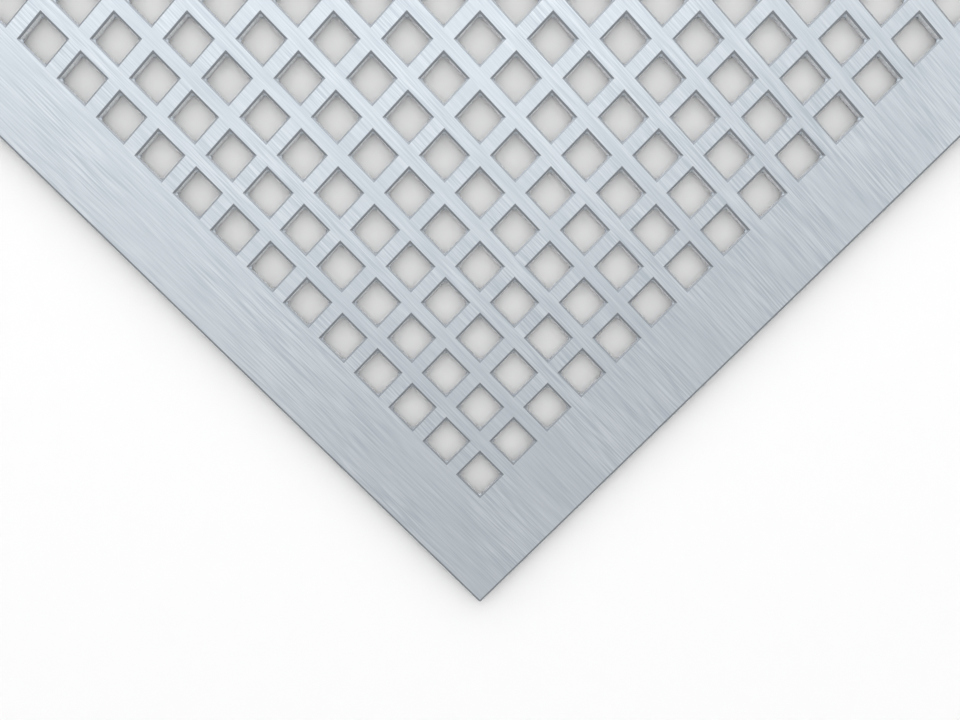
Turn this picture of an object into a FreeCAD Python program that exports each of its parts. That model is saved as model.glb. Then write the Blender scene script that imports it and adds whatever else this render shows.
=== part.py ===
# Perforated aluminium sheet.
#
# A flat rectangular sheet carries straight rows of square holes, which are parallel
# to its edges, and keeps a plain border all round.  It is one piece of metal.  It lies
# flat: its underside is on z = 0, its middle is above the origin, and X runs along its
# length.  Lengths are in millimetres.
import FreeCAD, Part
import os

import Sketcher

NODE = "perforated_sheet"

# The driving sizes.  How many holes fit, and where they start, follows from these.
SIZES = {
    "sheet_length": 200,
    "sheet_width": 200,
    "sheet_thickness": 1,
    "hole_side": 5,  # across the flats of one square hole
    "hole_pitch": 8,  # from a hole's middle to the next one's, both ways
    "least_border": 12,  # metal that is always left outside the outermost holes
}

# As many whole holes as fit between the two borders, along the length and the width.
HOLES_FITTING = "floor(({side} - 2 * Sizes.least_border - Sizes.hole_side) / Sizes.hole_pitch) + 1"
HOLES_ALONG = HOLES_FITTING.format(side="Sizes.sheet_length")
HOLES_ACROSS = HOLES_FITTING.format(side="Sizes.sheet_width")

# From the middle of the first hole to the middle of the last one.
SPAN_ALONG = f"({HOLES_ALONG} - 1) * Sizes.hole_pitch"
SPAN_ACROSS = f"({HOLES_ACROSS} - 1) * Sizes.hole_pitch"

# From the sheet's middle to the outer side of its outermost holes, so that what is
# left of the sheet is shared evenly between opposite borders.
REACH_ALONG = f"({SPAN_ALONG} + Sizes.hole_side) / 2"
REACH_ACROSS = f"({SPAN_ACROSS} + Sizes.hole_side) / 2"


def add_size_table(doc):
    """A spreadsheet that names every driving size, which the features read."""
    table = doc.addObject("Spreadsheet::Sheet", "Sizes")
    for row, (name, value) in enumerate(SIZES.items(), start=1):
        table.set(f"A{row}", name)
        table.set(f"B{row}", str(value))
        table.setAlias(f"B{row}", name)
    doc.recompute()
    return table


def origin_feature(body, role):
    """The body's own origin plane or axis with this role."""
    return next(item for item in body.Origin.OriginFeatures if item.Role == role)


def add_rectangle(body, name, low, high, driven):
    """A sketch on the body's XY plane that holds one rectangle.

    low and high are two opposite corners to start from.  driven maps the name of each
    dimension, which is one of length, width, left and below, to its expression.  left
    and below are how far the rectangle's low corner is to the left of and below the
    origin.  A rectangle without them is centred on the origin.
    """
    sketch = body.newObject("Sketcher::SketchObject", name)
    sketch.AttachmentSupport = (origin_feature(body, "XY_Plane"), "")
    sketch.MapMode = "FlatFace"

    corners = [
        FreeCAD.Vector(low[0], low[1], 0),
        FreeCAD.Vector(high[0], low[1], 0),
        FreeCAD.Vector(high[0], high[1], 0),
        FreeCAD.Vector(low[0], high[1], 0),
    ]
    sides = [
        sketch.addGeometry(Part.LineSegment(start, end))
        for start, end in zip(corners, corners[1:] + corners[:1])
    ]
    bottom, right, top, left = sides
    for side, following in zip(sides, sides[1:] + sides[:1]):
        sketch.addConstraint(Sketcher.Constraint("Coincident", side, 2, following, 1))
    for side in (bottom, top):
        sketch.addConstraint(Sketcher.Constraint("Horizontal", side))
    for side in (left, right):
        sketch.addConstraint(Sketcher.Constraint("Vertical", side))

    dimensions = {
        "length": Sketcher.Constraint("DistanceX", bottom, 1, bottom, 2, high[0] - low[0]),
        "width": Sketcher.Constraint("DistanceY", right, 1, right, 2, high[1] - low[1]),
        "left": Sketcher.Constraint("DistanceX", bottom, 1, -1, 1, -low[0]),
        "below": Sketcher.Constraint("DistanceY", bottom, 1, -1, 1, -low[1]),
    }
    for dimension, expression in driven.items():
        index = sketch.addConstraint(dimensions[dimension])
        sketch.renameConstraint(index, dimension)
        sketch.setExpression(f"Constraints.{dimension}", expression)
    if "left" not in driven:
        sketch.addConstraint(Sketcher.Constraint("Symmetric", bottom, 1, top, 1, -1, 1))
    return sketch


def add_plate(body):
    """The plain sheet before punching, with its underside on the XY plane."""
    outline = add_rectangle(
        body,
        "sheet_outline",
        low=(-10, -10),
        high=(10, 10),
        driven={"length": "Sizes.sheet_length", "width": "Sizes.sheet_width"},
    )
    plate = body.newObject("PartDesign::Pad", "plate")
    plate.Profile = outline
    plate.setExpression("Length", "Sizes.sheet_thickness")
    return plate


def add_corner_hole(body):
    """The first square hole, punched right through at the low corner of the field."""
    outline = add_rectangle(
        body,
        "hole_outline",
        low=(-9, -9),
        high=(-8, -8),
        driven={
            "length": "Sizes.hole_side",
            "width": "Sizes.hole_side",
            "left": REACH_ALONG,
            "below": REACH_ACROSS,
        },
    )
    hole = body.newObject("PartDesign::Pocket", "corner_hole")
    hole.Profile = outline
    hole.Type = "ThroughAll"
    hole.Reversed = True  # upwards from the underside, into the plate
    return hole


def add_hole_field(body, hole):
    """The hole repeated along both edges at the same pitch."""
    field = body.newObject("PartDesign::LinearPattern", "hole_field")
    field.Originals = [hole]
    field.Direction = (origin_feature(body, "X_Axis"), [""])
    field.Direction2 = (origin_feature(body, "Y_Axis"), [""])
    field.setExpression("Length", SPAN_ALONG)
    field.setExpression("Length2", SPAN_ACROSS)
    field.setExpression("Occurrences", HOLES_ALONG)
    field.setExpression("Occurrences2", HOLES_ACROSS)
    body.Tip = field
    return field


def build_sheet(doc):
    """The whole perforated sheet as one body."""
    body = doc.addObject("PartDesign::Body", NODE)
    body.Label = NODE
    body.Placement = FreeCAD.Placement()
    plate = add_plate(body)
    hole = add_corner_hole(body)
    field = add_hole_field(body, hole)
    doc.recompute()

    blank = plate.Shape.Volume
    punched_once = blank - hole.Shape.Volume
    expected = blank - punched_once * field.Occurrences * field.Occurrences2
    if punched_once <= 0 or abs(body.Shape.Volume - expected) > 1e-6 * blank:
        raise RuntimeError("some holes are missing or run into each other")
    print(f"{field.Occurrences} by {field.Occurrences2} holes, {body.Shape.Volume:.1f} mm3")
    return body


def check(doc, pieces):
    """Stop unless every object computed and every piece has a valid shape."""
    for item in doc.Objects:
        if {"Invalid", "Error"} & set(item.State):
            raise RuntimeError(f"{item.Name} failed: {item.State}")
    for piece in pieces:
        if piece.Shape.isNull() or not piece.Shape.isValid():
            raise RuntimeError(f"{piece.Label} has no valid shape")


def main():
    doc = FreeCAD.newDocument("PerforatedSheet")
    add_size_table(doc)
    pieces = [build_sheet(doc)]
    check(doc, pieces)
    os.makedirs("parts", exist_ok=True)
    for piece in pieces:
        piece.Shape.exportStep(os.path.join("parts", f"{piece.Label}.step"))


main()
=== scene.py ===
"""Perforated aluminium sheet: its brushed finish, its broken edges, and the studio around it.

The sheet lies flat on a pale floor, with its corner at +X, -Y towards the camera.  Its shape is
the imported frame's own node.  This script breaks that node's edges, dresses it in brushed
aluminium, and adds the floor, the lamps and the camera.  All lengths are in metres.
"""

from __future__ import annotations

import logging
import math
from dataclasses import dataclass, field
from enum import Enum
from typing import Union

import bpy
from mathutils import Matrix, Vector


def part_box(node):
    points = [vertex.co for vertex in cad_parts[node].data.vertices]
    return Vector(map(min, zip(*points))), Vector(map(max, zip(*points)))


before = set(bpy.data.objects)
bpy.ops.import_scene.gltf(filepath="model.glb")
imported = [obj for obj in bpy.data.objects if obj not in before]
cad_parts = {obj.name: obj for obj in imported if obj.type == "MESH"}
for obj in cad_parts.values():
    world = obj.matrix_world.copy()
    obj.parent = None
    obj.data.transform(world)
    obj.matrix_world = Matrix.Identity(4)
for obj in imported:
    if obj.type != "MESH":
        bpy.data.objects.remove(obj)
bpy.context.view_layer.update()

LOG = logging.getLogger("perforated_sheet")
SHEET = "perforated_sheet"
MM_PER_METRE = 1000.0
GRAIN_ROUGHNESS = 0.6
MIDDLE = 0.5

UP = Vector((0.0, 0.0, 1.0))

Colour = tuple[float, float, float, float]
Size = tuple[float, float, float]
Step = tuple[float, float]
Value = Union[bpy.types.NodeSocket, float, Size, Colour]


class BrushDirection(Enum):
    """Which way the brushed lines run on the sheet."""

    ALONG_LENGTH = 0
    ALONG_WIDTH = 1


class Blend(Enum):
    """What a Mix node blends: its data type, its two inputs and its output."""

    COLOURS = ("RGBA", 6, 7, 2)
    VECTORS = ("VECTOR", 4, 5, 1)


class NodeSketch:
    """A short way to write a material's node tree."""

    def __init__(self, name: str) -> None:
        """Start an empty tree.

        Args:
            name: The material's name.
        """
        self.material = bpy.data.materials.new(name)
        self.material.use_nodes = True
        self.tree = self.material.node_tree
        self.tree.nodes.clear()

    def add(self, kind: str, **settings: object) -> bpy.types.Node:
        """Add one node.

        Args:
            kind: The node's type, such as ShaderNodeMath.
            **settings: Properties to set on the node.

        Returns:
            The new node.
        """
        node = self.tree.nodes.new(kind)
        for key, value in settings.items():
            setattr(node, key, value)
        return node

    def feed(self, socket: bpy.types.NodeSocket, value: Value) -> None:
        """Link an output into a socket, or set the socket to a plain value.

        Args:
            socket: The input to feed.
            value: An output socket, a number, or a tuple of numbers.
        """
        if isinstance(value, bpy.types.NodeSocket):
            self.tree.links.new(value, socket)
        else:
            socket.default_value = value

    def math(self, operation: str, *values: Value) -> bpy.types.NodeSocket:
        """Do arithmetic on numbers.

        Args:
            operation: The Math node's operation.
            *values: Its inputs in order, each an output socket or a number.

        Returns:
            The result's socket.
        """
        node = self.add("ShaderNodeMath", operation=operation)
        for socket, value in zip(node.inputs, values):
            self.feed(socket, value)
        return node.outputs[0]

    def ramp(self, value: Value, step: Step) -> bpy.types.NodeSocket:
        """Turn a value into a smooth step from 0 to 1.

        Args:
            value: The value to read.
            step: Where the step starts and where it ends.

        Returns:
            The step's socket.
        """
        node = self.add("ShaderNodeMapRange", interpolation_type="SMOOTHSTEP")
        self.feed(node.inputs["Value"], value)
        node.inputs["From Min"].default_value = step[0]
        node.inputs["From Max"].default_value = step[1]
        return node.outputs["Result"]

    def mix(self, factor: Value, first: Value, second: Value,
            what: Blend = Blend.COLOURS) -> bpy.types.NodeSocket:
        """Blend two colours or two vectors.

        Args:
            factor: 0 for the first, 1 for the second.
            first: A plain value or an output socket.
            second: A plain value or an output socket.
            what: Whether they are colours or vectors.

        Returns:
            The blended result's socket.
        """
        kind, first_input, second_input, result = what.value
        node = self.add("ShaderNodeMix", data_type=kind)
        self.feed(node.inputs[0], factor)
        self.feed(node.inputs[first_input], first)
        self.feed(node.inputs[second_input], second)
        return node.outputs[result]

    def grain(self, place: Value, cell: Size, detail: float) -> bpy.types.NodeSocket:
        """Noise whose blotches have a set size along each axis.

        Args:
            place: The coordinates to read, in metres.
            cell: A blotch's usual length along X, Y and Z, in metres.
            detail: How many finer layers are added.

        Returns:
            A value near 0.5, mostly between 0.2 and 0.8.
        """
        mapping = self.add("ShaderNodeMapping")
        self.feed(mapping.inputs["Vector"], place)
        mapping.inputs["Scale"].default_value = tuple(1.0 / size for size in cell)
        noise = self.add("ShaderNodeTexNoise")
        self.feed(noise.inputs["Vector"], mapping.outputs["Vector"])
        noise.inputs["Scale"].default_value = 1.0
        noise.inputs["Detail"].default_value = detail
        noise.inputs["Roughness"].default_value = GRAIN_ROUGHNESS
        return noise.outputs["Fac"]

    def surface(self, shader: bpy.types.Node) -> bpy.types.Material:
        """Put a shader on the material's surface.

        Args:
            shader: The shader node.

        Returns:
            The finished material.
        """
        output = self.add("ShaderNodeOutputMaterial")
        self.feed(output.inputs["Surface"], shader.outputs["BSDF"])
        return self.material


@dataclass(frozen=True)
class Streaks:
    """One layer of brushed lines: a line's length and width, and how much it changes the tone."""

    length: float
    width: float
    contrast: float = 0.0
    detail: float = 1.0


@dataclass(frozen=True)
class BrushedAluminium:
    """Fine-brushed aluminium, with plain sheared metal on its cut edges.

    The face, the broken edge beside it and the cut wall are told apart by how level they lie. The broken
    edge and the holes' corners are darkened with painted shade.
    """

    # The face's lightest and darkest lines, the facet beside it, and the cut walls.
    light: Colour = (0.632, 0.676, 0.716, 1.0)
    dark: Colour = (0.472, 0.519, 0.568, 1.0)
    # edge is painted shade: the broken edge facet is coloured dark so every hole and the sheet's rim show a
    # shaded outline; the lamps then lighten only the lips that face them.
    edge: Colour = (0.250, 0.272, 0.296, 1.0)
    cut: Colour = (0.640, 0.660, 0.680, 1.0)
    cut_bright: Colour = (0.780, 0.795, 0.810, 1.0)

    roughness: float = 0.38
    roughness_swing: float = 0.20
    cut_roughness: float = 0.35
    stretch: float = 0.50

    # The brushing, from the finest tone to the widest, and the lines cut into the face.
    hairlines: Streaks = Streaks(length=0.007, width=0.00026, contrast=3.1)
    strands: Streaks = Streaks(length=0.018, width=0.00048, contrast=0.8)
    bands: Streaks = Streaks(length=0.090, width=0.0050, contrast=0.4)
    grooves: Streaks = Streaks(length=0.010, width=0.00012, detail=2.0)
    direction: BrushDirection = BrushDirection.ALONG_LENGTH

    # Where the hairlines fade, and the scoring on the walls.
    patch_cell: Size = (0.030, 0.010, 0.010)
    patch_least: float = 0.40
    score_cell: Size = (0.00016, 0.00016, 0.0012)
    score_detail: float = 2.0
    blotch_step: Step = (0.35, 0.65)

    relief_strength: float = 0.12
    relief_depth: float = 0.00001

    # How level the face and the upper facet lie (that facet is painted dark as painted shade), and how far a
    # hole's corner turns from its walls before its painted shade sets in.
    face_step: Step = (0.980, 0.998)
    painted_lip_shade_step: Step = (0.70, 0.80)
    painted_corner_shade_step: Step = (0.02, 0.06)

    def streaks(self, sketch: NodeSketch, place: Value, layer: Streaks) -> bpy.types.NodeSocket:
        """Lay one layer of brushed lines.

        Args:
            sketch: The node tree.
            place: The sheet's own coordinates.
            layer: The lines to lay.

        Returns:
            A value near 0.5.
        """
        if self.direction is BrushDirection.ALONG_LENGTH:
            cell = (layer.length, layer.width, layer.width)
        else:
            cell = (layer.width, layer.length, layer.width)
        return sketch.grain(place, cell, layer.detail)

    def across(self) -> Size:
        """The unit vector across the brushed lines."""
        return (0.0, 1.0, 0.0) if self.direction is BrushDirection.ALONG_LENGTH else (1.0, 0.0, 0.0)

    def fine_lines(self, sketch: NodeSketch, place: Value, hair: Value) -> bpy.types.NodeSocket:
        """Make the hairlines strong in some patches and faint in others.

        Args:
            sketch: The node tree.
            place: The sheet's own coordinates.
            hair: The hairlines.

        Returns:
            A value near 0.
        """
        patch = sketch.ramp(sketch.grain(place, self.patch_cell, 1.0), self.blotch_step)
        weight = sketch.math("MULTIPLY_ADD", patch, 1.0 - self.patch_least, self.patch_least)
        return sketch.math("MULTIPLY", sketch.math("SUBTRACT", hair, MIDDLE), weight)

    def face_colour(self, sketch: NodeSketch, place: Value, fine: Value) -> bpy.types.NodeSocket:
        """Colour the brushed face: hairlines over strands over wide bands.

        Args:
            sketch: The node tree.
            place: The sheet's own coordinates.
            fine: The hairlines, near 0.

        Returns:
            The colour's socket.
        """
        tone = sketch.math("MULTIPLY_ADD", fine, self.hairlines.contrast, MIDDLE)
        for layer in (self.strands, self.bands):
            lines = self.streaks(sketch, place, layer)
            lines = sketch.math("MULTIPLY_ADD", lines, layer.contrast, -layer.contrast * MIDDLE)
            tone = sketch.math("ADD", tone, lines)
        return sketch.mix(tone, self.dark, self.light)

    def cut_colour_and_corner_shade(self, sketch: NodeSketch, place: Value, corner: Value) -> bpy.types.NodeSocket:
        """Colour the sheared walls: scored from top to bottom, with painted shade darkening the holes'
        corners.

        Args:
            sketch: The node tree.
            place: The sheet's own coordinates.
            corner: 1 in a corner, where the painted shade goes, 0 on a wall.

        Returns:
            The colour's socket.
        """
        scoring = sketch.grain(place, self.score_cell, self.score_detail)
        walls = sketch.mix(sketch.ramp(scoring, self.blotch_step), self.cut, self.cut_bright)
        # Painted shade: the holes' corners take the face's dark colour.
        return sketch.mix(corner, walls, self.dark)

    def blurred_roughness(self, sketch: NodeSketch, flat: Value, fine: Value) -> bpy.types.NodeSocket:
        """Vary the face's roughness along its hairlines, and keep the cut metal even.

        Args:
            sketch: The node tree.
            flat: 1 on the face, 0 on the edges.
            fine: The hairlines, near 0.

        Returns:
            The roughness socket.
        """
        face = sketch.math("MULTIPLY_ADD", fine, self.roughness_swing, self.roughness)
        change = sketch.math("SUBTRACT", face, self.cut_roughness)
        return sketch.math("MULTIPLY_ADD", flat, change, self.cut_roughness)

    def relief(self, sketch: NodeSketch, place: Value, hair: Value, flat: Value) -> bpy.types.NodeSocket:
        """Raise the brushed lines a little on the face.

        Args:
            sketch: The node tree.
            place: The sheet's own coordinates.
            hair: The hairlines.
            flat: 1 on the face, 0 on the edges.

        Returns:
            The normal's socket.
        """
        groove = self.streaks(sketch, place, self.grooves)
        height = sketch.math("MULTIPLY", sketch.math("ADD", groove, hair), flat)
        bump = sketch.add("ShaderNodeBump")
        bump.inputs["Strength"].default_value = self.relief_strength
        bump.inputs["Distance"].default_value = self.relief_depth
        sketch.feed(bump.inputs["Height"], height)
        return bump.outputs["Normal"]

    def gloss_direction(self, sketch: NodeSketch, flat: Value) -> bpy.types.NodeSocket:
        """Spread reflections across the lines on the face, and up and down on the walls.

        Args:
            sketch: The node tree.
            flat: 1 on the face, 0 on the edges.

        Returns:
            The tangent's socket.
        """
        turned = sketch.add("ShaderNodeVectorTransform", vector_type="VECTOR")
        turned.convert_from = "OBJECT"
        turned.convert_to = "WORLD"
        turned.inputs["Vector"].default_value = self.across()
        return sketch.mix(flat, tuple(UP), turned.outputs["Vector"], Blend.VECTORS)

    def material(self) -> bpy.types.Material:
        """Build the node tree.

        Returns:
            The finished material.
        """
        sketch = NodeSketch("brushed_aluminium")
        place = sketch.add("ShaderNodeTexCoord").outputs["Object"]
        normal = sketch.add("ShaderNodeSeparateXYZ")
        sketch.feed(normal.inputs[0], sketch.add("ShaderNodeNewGeometry").outputs["Normal"])
        level = sketch.math("ABSOLUTE", normal.outputs["Z"])
        skew = sketch.math("MULTIPLY", normal.outputs["X"], normal.outputs["Y"])
        flat = sketch.ramp(level, self.face_step)
        painted_lip_shade = sketch.ramp(level, self.painted_lip_shade_step)
        corner = sketch.ramp(sketch.math("ABSOLUTE", skew), self.painted_corner_shade_step)

        hair = self.streaks(sketch, place, self.hairlines)
        fine = self.fine_lines(sketch, place, hair)
        # Painted shade: the broken edge facet takes the dark edge colour, over walls whose corners are
        # darkened.
        edges = sketch.mix(painted_lip_shade, self.cut_colour_and_corner_shade(sketch, place, corner), self.edge)
        colour = sketch.mix(flat, edges, self.face_colour(sketch, place, fine))

        shader = sketch.add("ShaderNodeBsdfPrincipled")
        shader.inputs["Metallic"].default_value = 1.0
        shader.inputs["Anisotropic"].default_value = self.stretch
        sketch.feed(shader.inputs["Base Color"], colour)
        sketch.feed(shader.inputs["Roughness"], self.blurred_roughness(sketch, flat, fine))
        sketch.feed(shader.inputs["Tangent"], self.gloss_direction(sketch, flat))
        sketch.feed(shader.inputs["Normal"], self.relief(sketch, place, hair, flat))
        return sketch.surface(shader)


@dataclass
class PerforatedSheet:
    """The sheet itself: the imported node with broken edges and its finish."""

    node: str = SHEET
    edge_width: float = 0.00040
    edge_facets: int = 2
    sharpest_angle: float = 40.0
    join_distance: float = 1e-6
    finish: BrushedAluminium = field(default_factory=BrushedAluminium)

    def break_edges(self, piece: bpy.types.Object) -> None:
        """Take the sharpness off every edge of the sheet and of its holes, as deburring does.

        Args:
            piece: The sheet's object.
        """
        weld = piece.modifiers.new("join_faces", "WELD")
        weld.merge_threshold = self.join_distance
        edge = piece.modifiers.new("broken_edges", "BEVEL")
        edge.width = self.edge_width
        edge.segments = self.edge_facets
        edge.limit_method = "ANGLE"
        edge.angle_limit = math.radians(self.sharpest_angle)
        edge.loop_slide = False

    def build(self) -> bpy.types.Object:
        """Shape and dress the sheet.

        Returns:
            The sheet's object.
        """
        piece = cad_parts[self.node]
        for polygon in piece.data.polygons:
            polygon.use_smooth = False
        self.break_edges(piece)
        piece.data.materials.clear()
        piece.data.materials.append(self.finish.material())
        return piece


@dataclass(frozen=True)
class PaleFloor:
    """Matt white floor material that lets light through a little, so shadows on it are soft."""

    whiteness: float = 0.930
    glow: float = 0.9
    glow_depth: float = 0.014

    def material(self) -> bpy.types.Material:
        """Build the node tree.

        Returns:
            The finished material.
        """
        sketch = NodeSketch("pale_floor")
        shader = sketch.add("ShaderNodeBsdfPrincipled", subsurface_method="BURLEY")
        shader.inputs["Base Color"].default_value = (self.whiteness, self.whiteness, self.whiteness, 1.0)
        shader.inputs["Roughness"].default_value = 1.0
        shader.inputs["Specular IOR Level"].default_value = 0.0
        shader.inputs["Subsurface Weight"].default_value = self.glow
        shader.inputs["Subsurface Radius"].default_value = (1.0, 1.0, 1.0)
        shader.inputs["Subsurface Scale"].default_value = self.glow_depth
        return sketch.surface(shader)


@dataclass
class Stage:
    """The pale floor that the sheet lies on, and the soft light of the room."""

    reach: float = 4.0
    gap: float = 0.00002
    finish: PaleFloor = field(default_factory=PaleFloor)
    sky: Colour = (1.0, 1.0, 1.0, 1.0)
    sky_strength: float = 0.80

    def floor(self) -> bpy.types.Object:
        """Lay the floor under the sheet.

        Returns:
            The floor's object.
        """
        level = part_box(SHEET)[0].z - self.gap
        corners = [
            (-self.reach, -self.reach, level),
            (self.reach, -self.reach, level),
            (self.reach, self.reach, level),
            (-self.reach, self.reach, level),
        ]
        mesh = bpy.data.meshes.new("floor")
        mesh.from_pydata(corners, [], [(0, 1, 2, 3)])
        mesh.materials.append(self.finish.material())
        plane = bpy.data.objects.new("floor", mesh)
        bpy.context.scene.collection.objects.link(plane)
        return plane

    def room_light(self) -> bpy.types.World:
        """Fill the room with even, soft light.

        Returns:
            The world.
        """
        world = bpy.data.worlds.new("room")
        world.use_nodes = True
        nodes = world.node_tree.nodes
        nodes.clear()
        background = nodes.new("ShaderNodeBackground")
        background.inputs["Color"].default_value = self.sky
        background.inputs["Strength"].default_value = self.sky_strength
        output = nodes.new("ShaderNodeOutputWorld")
        world.node_tree.links.new(background.outputs["Background"], output.inputs["Surface"])
        bpy.context.scene.world = world
        return world


@dataclass(frozen=True)
class Viewpoint:
    """How one corner of the sheet is turned to the viewer."""

    corner: Vector
    away: Vector
    right: Vector

    @staticmethod
    def at_near_corner() -> Viewpoint:
        """Stand at the corner at +X, -Y and look along the sheet's diagonal.

        Returns:
            The viewpoint.
        """
        low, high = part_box(SHEET)
        away = Vector((-1.0, 1.0, 0.0)).normalized()
        return Viewpoint(Vector((high.x, low.y, high.z)), away, away.cross(UP))

    def point(self, ahead: float, above: float = 0.0) -> Vector:
        """A place on the line that runs from the corner across the sheet.

        Args:
            ahead: Distance from the corner across the sheet.
            above: Height above the sheet's top face.

        Returns:
            The place in the frame.
        """
        return self.corner + self.away * ahead + UP * above


@dataclass(frozen=True)
class Softbox:
    """One large soft lamp.

    Its turn and height are angles seen from what it points at, in degrees: turn is to the right
    of straight away from the near corner, and height is above the floor.
    """

    name: str
    turn: float
    height: float = 24.0
    distance: float = 1.6
    width: float = 1.5
    depth: float = 1.1
    brightness: float = 0.85

    def place(self, view: Viewpoint, target: Vector) -> bpy.types.Object:
        """Set up the lamp.

        Args:
            view: The corner that directions are measured from.
            target: What the lamp points at.

        Returns:
            The lamp's object.
        """
        turn = math.radians(self.turn)
        height = math.radians(self.height)
        level = view.away * math.cos(turn) + view.right * math.sin(turn)
        towards = level * math.cos(height) + UP * math.sin(height)
        data = bpy.data.lights.new(self.name, "AREA")
        data.shape = "RECTANGLE"
        data.size = self.width
        data.size_y = self.depth
        data.energy = self.brightness * math.pi * self.width * self.depth
        lamp = bpy.data.objects.new(self.name, data)
        bpy.context.scene.collection.objects.link(lamp)
        lamp.location = target + towards * self.distance
        lamp.rotation_mode = "QUATERNION"
        lamp.rotation_quaternion = towards.to_track_quat("Z", "Y")
        return lamp


@dataclass(frozen=True)
class StudioLamps:
    """The lamps: a low row on the far side, which the holes' near edges mirror, and one higher up."""

    aim_ahead: float = 0.065
    boxes: tuple[Softbox, ...] = (
        Softbox("left_softbox", turn=-45.0),
        Softbox("back_softbox", turn=0.0),
        Softbox("right_softbox", turn=45.0),
        Softbox("high_softbox", turn=-8.0, height=50.0, distance=1.4, width=1.4, depth=1.4, brightness=0.55),
    )

    def place(self, view: Viewpoint) -> list[bpy.types.Object]:
        """Set up every lamp, aimed at one place on the sheet.

        Args:
            view: The corner that directions are measured from.

        Returns:
            The lamps' objects.
        """
        target = view.point(self.aim_ahead)
        return [box.place(view, target) for box in self.boxes]


@dataclass(frozen=True)
class SheetCamera:
    """The camera, above the near corner and leaning a little back over it."""

    lens: float = 24.0
    ahead: float = 0.0330
    height: float = 0.1086
    lean: float = -8.1
    shift: float = 0.15
    nearest: float = 0.001

    def place(self, view: Viewpoint) -> bpy.types.Object:
        """Set up the camera.

        Args:
            view: The corner that the camera is measured from.

        Returns:
            The camera's object.
        """
        lean = math.radians(self.lean)
        forward = view.away * math.sin(lean) - UP * math.cos(lean)
        upward = view.away * math.cos(lean) + UP * math.sin(lean)
        data = bpy.data.cameras.new("sheet_camera")
        data.lens = self.lens
        data.shift_y = self.shift
        data.clip_start = self.nearest
        camera = bpy.data.objects.new("sheet_camera", data)
        bpy.context.scene.collection.objects.link(camera)
        turn = Matrix((view.right, upward, -forward)).transposed().to_4x4()
        camera.matrix_world = Matrix.Translation(view.point(self.ahead, self.height)) @ turn
        bpy.context.scene.camera = camera
        return camera


def main() -> None:
    """Build the sheet, then the stage, the lamps and the camera."""
    logging.basicConfig(level=logging.INFO, format="%(message)s")
    bpy.context.scene.view_settings.view_transform = "Standard"

    sheet = PerforatedSheet().build()
    LOG.info("sheet %s: %.1f x %.1f x %.1f mm", sheet.name, *(sheet.dimensions * MM_PER_METRE))

    stage = Stage()
    LOG.info("stage %s: %.1f m across", stage.floor().name, 2.0 * stage.reach)
    LOG.info("stage %s: light at %.2f", stage.room_light().name, stage.sky_strength)

    view = Viewpoint.at_near_corner()
    for lamp in StudioLamps().place(view):
        LOG.info("lamp %s: %.1f W", lamp.name, lamp.data.energy)
    camera = SheetCamera().place(view)
    LOG.info("camera %s: %.0f mm lens", camera.name, camera.data.lens)


if __name__ == "__main__":
    main()
